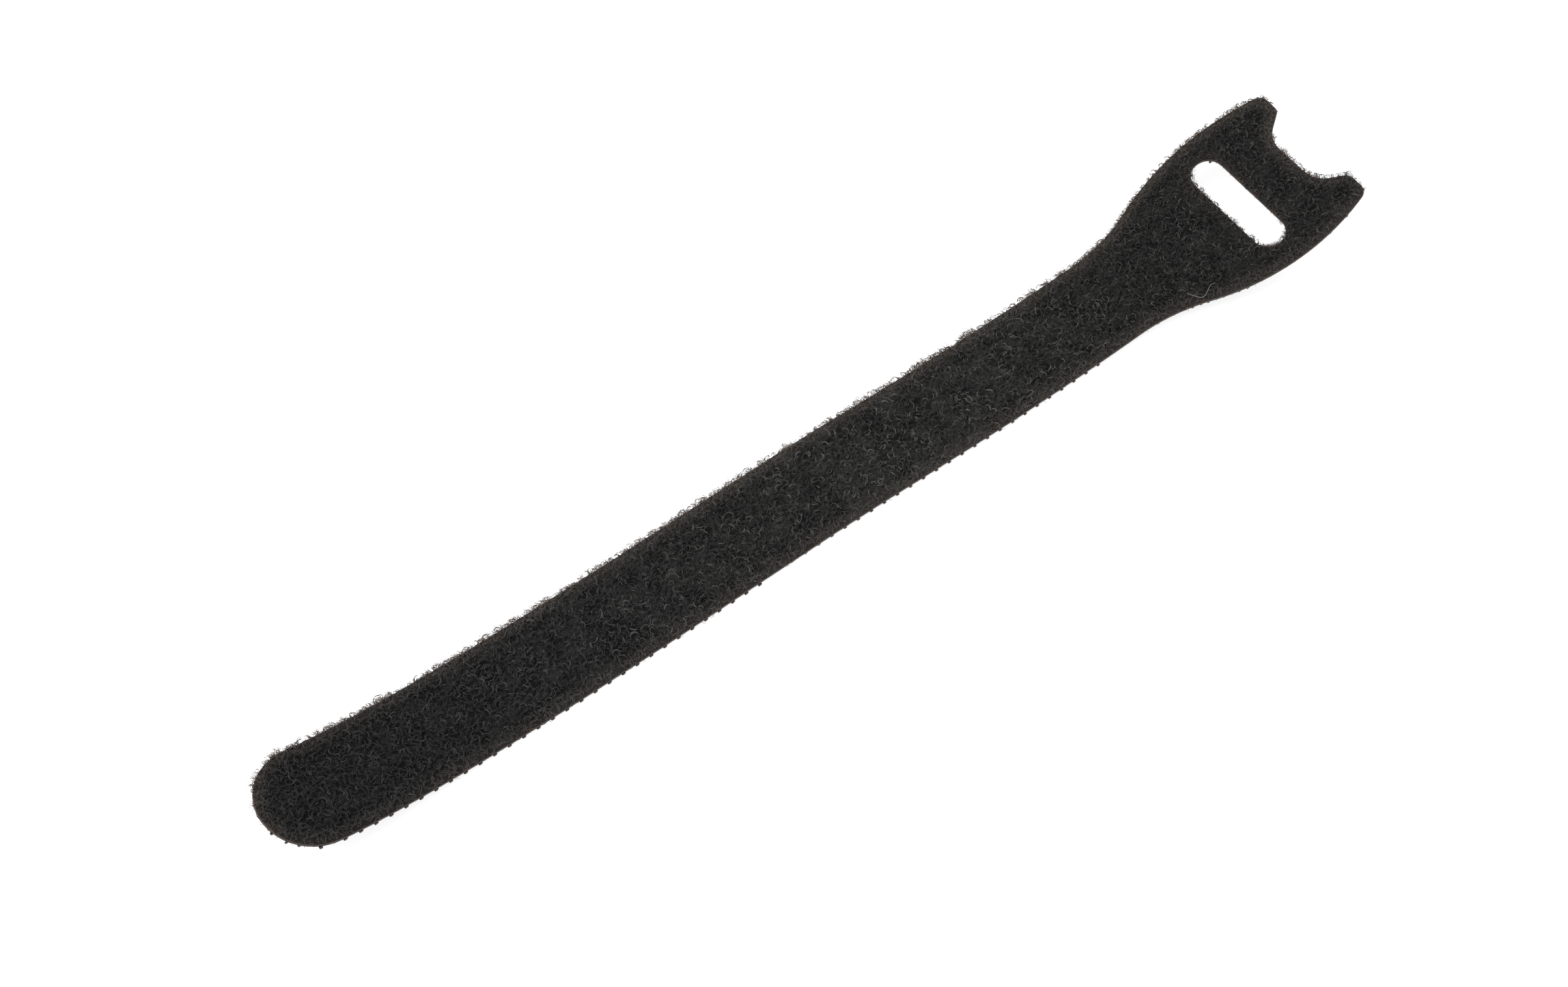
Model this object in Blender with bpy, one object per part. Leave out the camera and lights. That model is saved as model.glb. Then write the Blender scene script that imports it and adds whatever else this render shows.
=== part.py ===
"""Hook and loop cable tie: a strap with a round tip and a wide, slotted head.

The tie is one piece of back-to-back tape, cut to its outline with a die. It
lies on the hooks of its underside, with the loop pile up. The middle is flat
and both ends curl up off the surface. +X runs from the tip to the head, +Y
runs across the strap and +Z points up.
"""
import math

import bmesh
import bpy
from mathutils import Vector

# Strap, measured flat along its surface
TIE_LENGTH = 0.150
STRAP_WIDTH = 0.0125
STRAP_THICKNESS = 0.0011
PILE_EDGE_RADIUS = 0.0003

# Head, whose sides bow out past the strap and end in two prongs
HEAD_WIDTH = 0.0215
HEAD_SIDE_RADIUS = 0.0355
HEAD_WIDEST_TO_END = 0.0098
NECK_RADIUS = 0.0258
PRONG_CORNER_RADIUS = 0.0010

# Notch between the prongs
NOTCH_DEPTH = 0.0035
NOTCH_MOUTH_WIDTH = 0.0131
NOTCH_FLOOR_WIDTH = 0.0082
NOTCH_FLOOR_RADIUS = 0.0036
NOTCH_LIP_RADIUS = 0.0010

# Slot that the tip is drawn through
SLOT_LENGTH = 0.0156
SLOT_WIDTH = 0.0045
SLOT_CENTRE_TO_END = 0.0120

# Curl of each end: how much of the strap is bent, and to what radius
TIP_CURL_LENGTH = 0.0290
TIP_CURL_RADIUS = 0.0725
HEAD_CURL_LENGTH = 0.0460
HEAD_CURL_RADIUS = 0.1660

# Fineness of the mesh; a cut this near an outline point goes through the point
ARC_CHORD_ERROR = 0.00001
STATION_SPACING = 0.0060
SNAP_DISTANCE = 0.0001

# Matte black nylon
LOOP_PILE_COLOUR = (0.0137, 0.0130, 0.0123, 1.0)
LOOP_PILE_ROUGHNESS = 0.95


def clear_scene():
    for item in list(bpy.data.objects):
        bpy.data.objects.remove(item, do_unlink=True)


def arc(centre, radius, start, end):
    """Points on a circle from one angle to another, both ends included."""
    chord_angle = 2 * math.acos(1 - ARC_CHORD_ERROR / radius)
    steps = max(3, math.ceil(abs(end - start) / chord_angle))
    angles = [start + (end - start) * step / steps for step in range(steps + 1)]
    return [centre + radius * Vector((math.cos(a), math.sin(a))) for a in angles]


def rounded_corner(before, corner, after, radius):
    """Points of the arc that rounds a corner between two straight lines."""
    back = (before - corner).normalized()
    ahead = (after - corner).normalized()
    half_angle = back.angle(ahead) / 2
    centre = corner + (back + ahead).normalized() * radius / math.sin(half_angle)
    first = corner + back * radius / math.tan(half_angle) - centre
    last = corner + ahead * radius / math.tan(half_angle) - centre
    start = math.atan2(first.y, first.x)
    sweep = math.remainder(math.atan2(last.y, last.x) - start, math.tau)
    return arc(centre, radius, start, start + sweep)


def head_side():
    """Upper side of the head, from the strap's edge to the end of its prong."""
    half_strap = STRAP_WIDTH / 2
    head_centre = Vector((TIE_LENGTH - HEAD_WIDEST_TO_END, HEAD_WIDTH / 2 - HEAD_SIDE_RADIUS))

    # The neck is a hollow arc that touches both the strap and the head's side.
    neck_y = half_strap + NECK_RADIUS
    reach = HEAD_SIDE_RADIUS + NECK_RADIUS
    neck_x = head_centre.x - math.sqrt(reach ** 2 - (neck_y - head_centre.y) ** 2)
    neck_centre = Vector((neck_x, neck_y))
    meeting = head_centre - neck_centre
    meeting_angle = math.atan2(meeting.y, meeting.x)

    # The corner arc lies inside the head's side and touches the prong's end.
    corner_x = TIE_LENGTH - PRONG_CORNER_RADIUS
    corner_reach = HEAD_SIDE_RADIUS - PRONG_CORNER_RADIUS
    corner_y = head_centre.y + math.sqrt(corner_reach ** 2 - (corner_x - head_centre.x) ** 2)
    corner_centre = Vector((corner_x, corner_y))
    corner_angle = math.atan2(corner_y - head_centre.y, corner_x - head_centre.x)

    neck = arc(neck_centre, NECK_RADIUS, -math.pi / 2, meeting_angle)
    side = arc(head_centre, HEAD_SIDE_RADIUS, meeting_angle + math.pi, corner_angle)
    corner = arc(corner_centre, PRONG_CORNER_RADIUS, corner_angle, 0)
    return neck + side[1:] + corner[1:]


def notch_side():
    """Upper half of the notch, from the prong's end to the notch's floor."""
    floor_x = TIE_LENGTH - NOTCH_DEPTH
    prong_end = Vector((TIE_LENGTH, HEAD_WIDTH / 2))
    lip = Vector((TIE_LENGTH, NOTCH_MOUTH_WIDTH / 2))
    floor_corner = Vector((floor_x, NOTCH_FLOOR_WIDTH / 2))
    floor_middle = Vector((floor_x, 0))
    return (rounded_corner(prong_end, lip, floor_corner, NOTCH_LIP_RADIUS)
            + rounded_corner(lip, floor_corner, floor_middle, NOTCH_FLOOR_RADIUS))


def tie_outline():
    """Closed outline of the flat tie, starting at the tip."""
    half_strap = STRAP_WIDTH / 2
    tip = arc(Vector((half_strap, 0)), half_strap, math.pi, math.pi / 2)
    upper = tip + head_side() + notch_side()
    lower = [Vector((point.x, -point.y)) for point in reversed(upper[1:])]
    return upper + lower


def slot_outline():
    """Closed outline of the slot, with fully round ends."""
    slot_x = TIE_LENGTH - SLOT_CENTRE_TO_END
    end_radius = SLOT_WIDTH / 2
    end_y = SLOT_LENGTH / 2 - end_radius
    far_end = arc(Vector((slot_x, end_y)), end_radius, 0, math.pi)
    near_end = arc(Vector((slot_x, -end_y)), end_radius, math.pi, math.tau)
    return far_end + near_end


def add_loop(bm, points):
    verts = [bm.verts.new((point.x, point.y, 0)) for point in points]
    for this, following in zip(verts, verts[1:] + verts[:1]):
        bm.edges.new((this, following))


def is_across(edge):
    """Whether an edge runs across the strap, as the cuts at the stations do."""
    first, second = edge.verts
    return abs(first.co.x - second.co.x) < 2 * SNAP_DISTANCE


def stations():
    """Places along each curl where the faces are divided, and the slot's middle."""
    tip_steps = math.ceil(TIP_CURL_LENGTH / STATION_SPACING)
    head_steps = math.ceil(HEAD_CURL_LENGTH / STATION_SPACING)
    tip = [TIP_CURL_LENGTH * step / tip_steps for step in range(1, tip_steps + 1)]
    head = [TIE_LENGTH - HEAD_CURL_LENGTH * step / head_steps for step in range(1, head_steps + 1)]
    return tip + head + [TIE_LENGTH - SLOT_CENTRE_TO_END]


def flat_blank():
    """The flat tie as one layer of faces, divided at each station."""
    bm = bmesh.new()
    add_loop(bm, tie_outline())
    add_loop(bm, slot_outline())
    bmesh.ops.triangle_fill(bm, use_beauty=True, edges=bm.edges[:])
    for station in stations():
        bmesh.ops.bisect_plane(
            bm, geom=bm.verts[:] + bm.edges[:] + bm.faces[:], dist=SNAP_DISTANCE,
            plane_co=(station, 0, 0), plane_no=(1, 0, 0))
    slanting = [edge for edge in bm.edges if len(edge.link_faces) == 2 and not is_across(edge)]
    bmesh.ops.dissolve_edges(bm, edges=slanting, use_verts=False)
    inner = [vert for vert in bm.verts if not vert.is_boundary]
    bmesh.ops.dissolve_verts(bm, verts=[vert for vert in inner if len(vert.link_edges) == 2])
    return bm


def is_upper_rim(edge):
    """Whether an edge lies between the pile's surface and a wall."""
    heights = [vert.co.z for vert in edge.verts]
    return min(heights) > STRAP_THICKNESS / 2 and edge.calc_face_angle() > math.pi / 4


def thicken(bm):
    """Extrudes the blank up to the pile's surface and rounds its upper rim."""
    extruded = bmesh.ops.extrude_face_region(bm, geom=bm.faces[:])["geom"]
    upper_verts = [item for item in extruded if isinstance(item, bmesh.types.BMVert)]
    bmesh.ops.translate(bm, vec=(0, 0, STRAP_THICKNESS), verts=upper_verts)
    bmesh.ops.recalc_face_normals(bm, faces=bm.faces[:])
    rim = [edge for edge in bm.edges if is_upper_rim(edge)]
    bmesh.ops.bevel(bm, geom=rim, offset=PILE_EDGE_RADIUS, segments=2, profile=0.5, affect="EDGES")


def curl(bm):
    """Rolls both ends up and leaves the stretch between them flat."""
    head_curl_start = TIE_LENGTH - HEAD_CURL_LENGTH
    for vert in bm.verts:
        x, y, height = vert.co
        if x < TIP_CURL_LENGTH:
            direction, start, radius = -1, TIP_CURL_LENGTH, TIP_CURL_RADIUS
        elif x > head_curl_start:
            direction, start, radius = 1, head_curl_start, HEAD_CURL_RADIUS
        else:
            continue
        angle = abs(x - start) / radius
        reach = (radius - height) * math.sin(angle)
        rise = radius - (radius - height) * math.cos(angle)
        vert.co = (start + direction * reach, y, rise)


def centre_on_length(bm):
    """Puts the origin under the middle of the curled tie."""
    places = [vert.co.x for vert in bm.verts]
    bmesh.ops.translate(bm, vec=(-(min(places) + max(places)) / 2, 0, 0), verts=bm.verts[:])


def loop_pile_material():
    material = bpy.data.materials.new("black nylon loop pile")
    material.use_nodes = True
    shader = material.node_tree.nodes["Principled BSDF"]
    shader.inputs["Base Color"].default_value = LOOP_PILE_COLOUR
    shader.inputs["Roughness"].default_value = LOOP_PILE_ROUGHNESS
    shader.inputs["Metallic"].default_value = 0.0
    return material


def make_cable_tie():
    bm = flat_blank()
    thicken(bm)
    curl(bm)
    centre_on_length(bm)
    mesh = bpy.data.meshes.new("cable_tie")
    bm.to_mesh(mesh)
    bm.free()
    mesh.shade_smooth()
    mesh.set_sharp_from_angle(angle=math.radians(40))
    mesh.materials.append(loop_pile_material())
    cable_tie = bpy.data.objects.new("cable_tie", mesh)
    bpy.context.collection.objects.link(cable_tie)
    return cable_tie


clear_scene()
make_cable_tie()
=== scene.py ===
# %% [markdown]
# # Hook and loop cable tie
# A cable tie of this kind is one strip of back-to-back tape: a soft loop pile on
# the upper side and a field of small moulded hooks on the lower side, cut out
# with a die. The tip is drawn through the slot in the head and pressed back
# onto the strap, where the hooks catch in the pile.
#
# This lesson dresses the plain solid of the tie with what the eye sees on a real
# one: the fused edge, the hooks, the felt of fine loops and the loose fibres at
# the rim. We begin by loading the solid as a fixed frame, in metres.

# %% Load the frame
import math

import bmesh
import bpy
import numpy as np
from mathutils import Matrix, Vector, noise


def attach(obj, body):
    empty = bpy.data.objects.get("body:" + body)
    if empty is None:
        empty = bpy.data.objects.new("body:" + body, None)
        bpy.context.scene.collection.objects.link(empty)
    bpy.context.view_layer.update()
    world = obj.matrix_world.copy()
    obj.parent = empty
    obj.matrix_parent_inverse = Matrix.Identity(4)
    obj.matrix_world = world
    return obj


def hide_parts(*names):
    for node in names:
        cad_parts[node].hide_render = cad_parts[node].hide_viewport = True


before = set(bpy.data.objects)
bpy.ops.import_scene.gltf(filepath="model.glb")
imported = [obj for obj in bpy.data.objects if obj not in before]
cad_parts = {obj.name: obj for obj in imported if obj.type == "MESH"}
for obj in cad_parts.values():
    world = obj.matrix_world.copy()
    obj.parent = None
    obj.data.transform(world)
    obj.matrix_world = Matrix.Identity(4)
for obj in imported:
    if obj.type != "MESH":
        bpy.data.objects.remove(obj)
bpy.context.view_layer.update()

MM = 0.001

# %% [markdown]
# ## The camera
# The photograph looks down on the tie from one side, at about 59 degrees above
# the table. A camera could be placed by eye, but the outline of a flat strap is
# unforgiving, so the place, the turn and the lens were solved from the outline.
# Roll is a turn about the camera's own axis. To work it into `rotation_euler` is
# awkward, so the matrix is built from the viewing direction instead.

# %% Camera
CAMERA_AZIMUTH = -119.922
CAMERA_ELEVATION = 59.196
CAMERA_ROLL = -6.148
CAMERA_DISTANCE = 255.78 * MM
CAMERA_TARGET = Vector((-4.824, 1.845, 0.0)) * MM
PHOTO_WIDTH = 2408
FOCAL_LENGTH_PX = 3354.1
SENSOR_WIDTH = 36.0
NEAREST_SEEN = 10.0 * MM
scene = bpy.context.scene


def add_object(name, data):
    """Puts a mesh, a curve, a camera or a lamp in the scene as an object at the origin."""
    item = bpy.data.objects.new(name, data)
    scene.collection.objects.link(item)
    return item


azimuth, elevation = math.radians(CAMERA_AZIMUTH), math.radians(CAMERA_ELEVATION)
toward_camera = Vector((
    math.cos(elevation) * math.cos(azimuth),
    math.cos(elevation) * math.sin(azimuth),
    math.sin(elevation)))
aim = toward_camera.to_track_quat("Z", "Y").to_matrix().to_4x4()
roll = Matrix.Rotation(math.radians(CAMERA_ROLL), 4, "Z")
camera_data = bpy.data.cameras.new("camera")
camera_data.sensor_width = SENSOR_WIDTH
camera_data.lens = SENSOR_WIDTH * FOCAL_LENGTH_PX / PHOTO_WIDTH
camera_data.clip_start = NEAREST_SEEN
camera = add_object("camera", camera_data)
camera.matrix_world = (
    Matrix.Translation(CAMERA_TARGET + toward_camera * CAMERA_DISTANCE) @ aim @ roll)
scene.camera = camera
print("lens, mm:", round(camera_data.lens, 2))

# %% [markdown]
# ## Colours and nodes
# Colours are written as the sRGB hex values that a paint program shows. Blender
# mixes light in linear values, so one function converts them. A small function
# adds a node, sets its properties and fills its inputs, for shader trees and
# geometry trees alike. An input takes a value, a socket, or a whole node, which
# then gives its first output. A colour ramp also takes its stops.

# %% Helpers for colours and nodes
WHITE = (1.0, 1.0, 1.0, 1.0)


def linear(hex_colour):
    """Linear RGBA of an sRGB hex colour such as #2b2a29."""
    channels = [int(hex_colour[start:start + 2], 16) / 255 for start in (1, 3, 5)]
    return (*[c / 12.92 if c <= 0.04045 else ((c + 0.055) / 1.055) ** 2.4 for c in channels], 1.0)


def fill(node, inputs):
    """Sets a node's inputs to values, or links them to sockets or to other nodes."""
    for key, value in inputs.items():
        if isinstance(value, bpy.types.Node):
            value = value.outputs[0]
        if isinstance(value, bpy.types.NodeSocket):
            node.id_data.links.new(value, node.inputs[key])
        else:
            node.inputs[key].default_value = value


def add_node(tree, kind, inputs=None, stops=(), **settings):
    """Adds a node with its settings, its colour stops if it has any, and its inputs."""
    node = tree.nodes.new(kind)
    for name, value in settings.items():
        setattr(node, name, value)
    if stops:
        ramp = node.color_ramp.elements
        ramp[0].position, ramp[1].position = stops[0][0], stops[-1][0]
        ramp[0].color, ramp[1].color = stops[0][1], stops[-1][1]
        for position, colour in stops[1:-1]:
            ramp.new(position).color = colour
    fill(node, inputs or {})
    return node


# %% [markdown]
# ## The stage
# A product photograph on white is lit by large soft boxes. A grey world at a
# plain level gives the even part, and one wide lamp, high up on the camera's
# left, gives the fibres a lit side. The floor is white and keeps the soft shadow
# of the tie. What the camera sees of the floor, straight or in a reflection,
# gets light of its own, so that the paper reads as white without more light
# falling on the black tape.

# %% World, lamp and floor
WORLD_LEVEL = 0.64
LAMP_WATTS = 1.2
LAMP_SIZE = (0.50, 0.35)
LAMP_PLACE = Vector((-0.22, 0.16, 0.45))
PAPER_GLOW = 0.77
FLOOR_HALF = 1.5
FLOOR_Z = -0.03 * MM


def seen_rays(tree):
    """1 for a ray of the camera or one that a glossy or clear surface sends on."""
    light_path = add_node(tree, "ShaderNodeLightPath").outputs
    mirrored = add_node(tree, "ShaderNodeMath", {
        0: light_path["Is Camera Ray"], 1: light_path["Is Glossy Ray"]}, operation="MAXIMUM")
    return add_node(tree, "ShaderNodeMath", {
        0: mirrored, 1: light_path["Is Transmission Ray"]}, operation="MAXIMUM")


scene.view_settings.view_transform = "Standard"
world = bpy.data.worlds.new("studio")
world.use_nodes = True
scene.world = world
level = add_node(world.node_tree, "ShaderNodeMapRange", {
    "Value": seen_rays(world.node_tree), "To Min": WORLD_LEVEL, "To Max": 1.0})
fill(world.node_tree.nodes["Background"], {"Color": WHITE, "Strength": level})

lamp_data = bpy.data.lights.new("soft_box", "AREA")
lamp_data.shape = "RECTANGLE"
lamp_data.size, lamp_data.size_y = LAMP_SIZE
lamp_data.energy = LAMP_WATTS
lamp = add_object("soft_box", lamp_data)
lamp.matrix_world = (
    Matrix.Translation(LAMP_PLACE) @ LAMP_PLACE.to_track_quat("Z", "Y").to_matrix().to_4x4())

paper = bpy.data.materials.new("white background paper, matte")
paper.use_nodes = True
glow = add_node(paper.node_tree, "ShaderNodeMath", {
    0: seen_rays(paper.node_tree), 1: PAPER_GLOW}, operation="MULTIPLY")
fill(paper.node_tree.nodes["Principled BSDF"], {
    "Base Color": linear("#cfcfcf"), "Roughness": 0.9, "Specular IOR Level": 0.1,
    "Emission Color": WHITE, "Emission Strength": glow})

floor_mesh = bpy.data.meshes.new("floor")
corners = [(-1, -1), (1, -1), (1, 1), (-1, 1)]
floor_mesh.from_pydata(
    [(x * FLOOR_HALF, y * FLOOR_HALF, FLOOR_Z) for x, y in corners], [], [(0, 1, 2, 3)])
floor_mesh.materials.append(paper)
floor = add_object("floor", floor_mesh)

# %% [markdown]
# ## The cut
# The outline comes from a cutting die, so it is made of straight lines and
# arcs: a half circle at the tip, a hollow arc at each side of the neck, a bowed
# side on the head, and rounded corners in the notch. We work out one half and
# mirror it. Everything is made flat first, in a frame whose x runs from the tip
# along the surface, and is curled in one go at the end. Flat pieces are far
# easier to measure, and the curl then bends all of them alike.

# %% Sizes of the cut
TIE_LENGTH = 150.0 * MM
STRAP_WIDTH = 12.5 * MM
HEAD_WIDTH = 21.5 * MM
HEAD_SIDE_RADIUS = 35.5 * MM
HEAD_WIDEST_TO_END = 9.8 * MM
NECK_RADIUS = 25.8 * MM
PRONG_CORNER_RADIUS = 1.0 * MM
NOTCH_DEPTH = 3.5 * MM
NOTCH_MOUTH_WIDTH = 13.1 * MM
NOTCH_FLOOR_WIDTH = 8.2 * MM
NOTCH_FLOOR_RADIUS = 3.6 * MM
NOTCH_LIP_RADIUS = 1.0 * MM
SLOT_LENGTH = 15.6 * MM
SLOT_WIDTH = 4.5 * MM
SLOT_CENTRE_TO_END = 12.0 * MM
OUTLINE_STEP = 0.45 * MM


def arc(centre, radius, start, end):
    """Points of an arc, about as far apart as the outline's step."""
    steps = max(3, math.ceil(abs(end - start) * radius / OUTLINE_STEP))
    angles = np.linspace(start, end, steps + 1)
    return [(centre[0] + radius * math.cos(a), centre[1] + radius * math.sin(a)) for a in angles]


def rounded_corner(before, corner, after, radius):
    """Points of the arc that rounds a corner between two straight lines."""
    corner = Vector(corner)
    back, ahead = (Vector(before) - corner).normalized(), (Vector(after) - corner).normalized()
    half_angle = back.angle(ahead) / 2
    centre = corner + (back + ahead).normalized() * radius / math.sin(half_angle)
    first = corner + back * radius / math.tan(half_angle) - centre
    last = corner + ahead * radius / math.tan(half_angle) - centre
    start = math.atan2(first.y, first.x)
    sweep = math.remainder(math.atan2(last.y, last.x) - start, math.tau)
    return arc(centre, radius, start, start + sweep)


def even_steps(points):
    """The closed outline again, with its points evenly spaced."""
    points = np.array(points + points[:1])
    run = np.concatenate([[0], np.cumsum(np.linalg.norm(np.diff(points, axis=0), axis=1))])
    count = round(run[-1] / OUTLINE_STEP)
    places = np.linspace(0, run[-1], count, endpoint=False)
    return np.stack([np.interp(places, run, points[:, axis]) for axis in (0, 1)], axis=1)


# %% Outline of the tie and of its slot
half_strap = STRAP_WIDTH / 2
head_centre = (TIE_LENGTH - HEAD_WIDEST_TO_END, HEAD_WIDTH / 2 - HEAD_SIDE_RADIUS)
neck_y = half_strap + NECK_RADIUS
neck_x = head_centre[0] - math.sqrt(
    (HEAD_SIDE_RADIUS + NECK_RADIUS) ** 2 - (neck_y - head_centre[1]) ** 2)
meeting_angle = math.atan2(head_centre[1] - neck_y, head_centre[0] - neck_x)
corner_x = TIE_LENGTH - PRONG_CORNER_RADIUS
corner_y = head_centre[1] + math.sqrt(
    (HEAD_SIDE_RADIUS - PRONG_CORNER_RADIUS) ** 2 - (corner_x - head_centre[0]) ** 2)
corner_angle = math.atan2(corner_y - head_centre[1], corner_x - head_centre[0])
notch_x = TIE_LENGTH - NOTCH_DEPTH
prong_end = (TIE_LENGTH, HEAD_WIDTH / 2)
notch_lip = (TIE_LENGTH, NOTCH_MOUTH_WIDTH / 2)
notch_corner = (notch_x, NOTCH_FLOOR_WIDTH / 2)

upper_half = (
    arc((half_strap, 0), half_strap, math.pi, math.pi / 2)
    + arc((neck_x, neck_y), NECK_RADIUS, -math.pi / 2, meeting_angle)
    + arc(head_centre, HEAD_SIDE_RADIUS, meeting_angle + math.pi, corner_angle)[1:]
    + arc((corner_x, corner_y), PRONG_CORNER_RADIUS, corner_angle, 0)[1:]
    + rounded_corner(prong_end, notch_lip, notch_corner, NOTCH_LIP_RADIUS)
    + rounded_corner(notch_lip, notch_corner, (notch_x, 0), NOTCH_FLOOR_RADIUS))
lower_half = [(x, -y) for x, y in reversed(upper_half[1:])]
tie_outline = even_steps((upper_half + lower_half)[::-1])

slot_x = TIE_LENGTH - SLOT_CENTRE_TO_END
slot_reach = SLOT_LENGTH / 2 - SLOT_WIDTH / 2
slot_outline = even_steps(
    (arc((slot_x, slot_reach), SLOT_WIDTH / 2, 0, math.pi)
     + arc((slot_x, -slot_reach), SLOT_WIDTH / 2, math.pi, math.tau))[::-1])


print("outline points:", len(tie_outline), "slot:", len(slot_outline))

# %% [markdown]
# ## The curl
# The tie comes off a roll and keeps some of its bend: the tip and the head rise
# off the table while the middle lies flat. Each end follows one circular arc.
# A point at a distance along the strap and a height above the underside lands
# on a circle around the curl's centre, so thickness is kept. A strap off a roll
# isn't quite straight either: seen from above, its middle line wanders by up to
# half a millimetre.

# %% One function that curls any flat mesh
TIP_CURL_LENGTH = 29.0 * MM
TIP_CURL_RADIUS = 72.5 * MM
HEAD_CURL_LENGTH = 46.0 * MM
HEAD_CURL_RADIUS = 166.0 * MM
# Places along the strap and how far its middle line is off to the near side, in mm.
WANDER = (
    [0, 6, 10, 14, 20, 26, 32, 38, 50, 58, 66, 72, 78, 84, 92, 98, 106, 114, 120],
    [0.46, 0.35, 0.27, 0.15, 0.02, 0.0, 0.11, 0.18, 0.16, 0.06, -0.02, -0.10, -0.08, 0.03, 0.15,
     0.19, 0.10, 0.04, 0.0])


def curled(points):
    """Where points of the flat tie lie once its ends have curled up."""
    x, y, height = points.T
    placed = np.stack([x, y - np.interp(x / MM, *WANDER) * MM, height], axis=1)
    head_start = TIE_LENGTH - HEAD_CURL_LENGTH
    for bent, start, radius, direction in (
            (x < TIP_CURL_LENGTH, TIP_CURL_LENGTH, TIP_CURL_RADIUS, -1),
            (x > head_start, head_start, HEAD_CURL_RADIUS, 1)):
        angle = np.abs(x - start) / radius
        placed[bent, 0] = (start + direction * (radius - height) * np.sin(angle))[bent]
        placed[bent, 2] = (radius - (radius - height) * np.cos(angle))[bent]
    return placed


flat_ends = np.array([[0.0, 0.0, 0.0], [TIE_LENGTH, 0.0, 0.0]])
middle_x = curled(flat_ends)[:, 0].mean()


def curl_mesh(mesh):
    """Curls a finished flat mesh and centres it on the solid."""
    points = np.empty(len(mesh.vertices) * 3, np.float32)
    mesh.vertices.foreach_get("co", points)
    placed = curled(points.reshape(-1, 3).astype(float)) - (middle_x, 0, 0)
    mesh.vertices.foreach_set("co", placed.astype(np.float32).ravel())
    mesh.update()


print("middle of the tie, mm from the tip:", round(middle_x / MM, 2))

# %% [markdown]
# ## The tape
# The tape is about 1.1 mm thick: 0.3 mm of hooks, a film and a knitted ground
# of 0.3 mm together, and 0.5 mm of pile. Film, ground and the dense foot of
# the pile are modelled as one closed shell. The die presses the rim thin and
# the nylon fuses there: the edge swells out a little past the cut and turns
# smooth, and its slightly brown colour is painted backlight. The shell gets
# closely spaced rings along the rim for that slope, and a grid inside so that
# noise can make the pile uneven.
#
# A boolean of a grid with the outline would also do, but it leaves slivers. Here
# the rings are offsets of the outline, the inside is filled, and planes then
# cut the whole sheet into small cells.

# %% A flat sheet with rings along its rim
FELT_CELL = 1.1 * MM
SNAP = 0.02 * MM
RIM_SWELL = 0.15 * MM


def offset(loop, distance):
    """The outline moved inward by a distance, point by point."""
    along = np.roll(loop, -1, axis=0) - np.roll(loop, 1, axis=0)
    along /= np.linalg.norm(along, axis=1, keepdims=True)
    return loop + distance * np.stack([-along[:, 1], along[:, 0]], axis=1)


def flat_sheet(margins, cell):
    """One layer of faces inside the cut, with a ring of faces between margins."""
    bm = bmesh.new()
    innermost = []
    for loop in (tie_outline, slot_outline):
        rows = [[bm.verts.new((x, y, 0)) for x, y in offset(loop, margin)] for margin in margins]
        for outer, inner in zip(rows, rows[1:]):
            for i in range(len(loop)):
                bm.faces.new((outer[i - 1], outer[i], inner[i], inner[i - 1]))
        last = rows[-1]
        pairs = [(last[i - 1], last[i]) for i in range(len(loop))]
        innermost += [bm.edges.get(pair) or bm.edges.new(pair) for pair in pairs]
    bmesh.ops.triangle_fill(bm, use_beauty=True, edges=innermost)
    across = np.arange(cell, TIE_LENGTH, cell)
    lengthways = np.arange(-HEAD_WIDTH / 2 + cell, HEAD_WIDTH / 2, cell)
    cuts = [((x, 0, 0), (1, 0, 0)) for x in across] + [((0, y, 0), (0, 1, 0)) for y in lengthways]
    for place, normal in cuts:
        bmesh.ops.bisect_plane(
            bm, geom=bm.verts[:] + bm.edges[:] + bm.faces[:], dist=SNAP,
            plane_co=place, plane_no=normal)
    for face in bm.faces:
        if face.normal.z < 0:
            face.normal_flip()
    return bm


def rim_distance(points):
    """How far points of the flat tie are from the nearest fused edge."""
    rim = np.concatenate([offset(tie_outline, -RIM_SWELL), offset(slot_outline, -RIM_SWELL)])
    nearest = np.empty(len(points))
    for start in range(0, len(points), 2000):
        block = points[start:start + 2000, None, :2] - rim[None]
        nearest[start:start + 2000] = np.sqrt((block ** 2).sum(axis=2).min(axis=1))
    return nearest


# %% [markdown]
# The heights of the shell follow the distance from the rim. `np.interp` reads
# such a profile from a short table, which is easy to change: distances from the
# edge, and the height above the hooks' tips at each of them, in millimetres.

# %% Shape of the tape
# HOOK_HEIGHT and the profiles are in mm, and so are FELT_FADE and FUSED_WIDTH.
HOOK_HEIGHT = 0.30
RIM_RINGS = [ring - RIM_SWELL for ring in (0.0, 0.08 * MM, 0.26 * MM, 0.55 * MM)]
TOP_PROFILE = ([0.0, 0.08, 0.26, 0.55], [0.56, 0.62, 0.70, 0.76])
UNDER_PROFILE = ([0.0, 0.08], [HOOK_HEIGHT + 0.04, HOOK_HEIGHT])
FELT_UNEVENNESS = 0.04 * MM
# Waves of the felt, as (waves per mm, share); they fade out toward the edge.
FELT_WAVES = ((0.5, 1.0), (0.9, 0.6))
FELT_FADE = 0.5
FUSED_WIDTH = 0.05
FUSED_TOP = 0.68 * MM
FACING_DOWN = -0.7
# Material slots of the tape; slot 0 is the felt.
FUSED, FILM = 1, 2


def print_triangles(name, mesh):
    """Prints how many triangles a finished mesh has."""
    mesh.calc_loop_triangles()
    print(name, "triangles:", len(mesh.loop_triangles))


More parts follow.
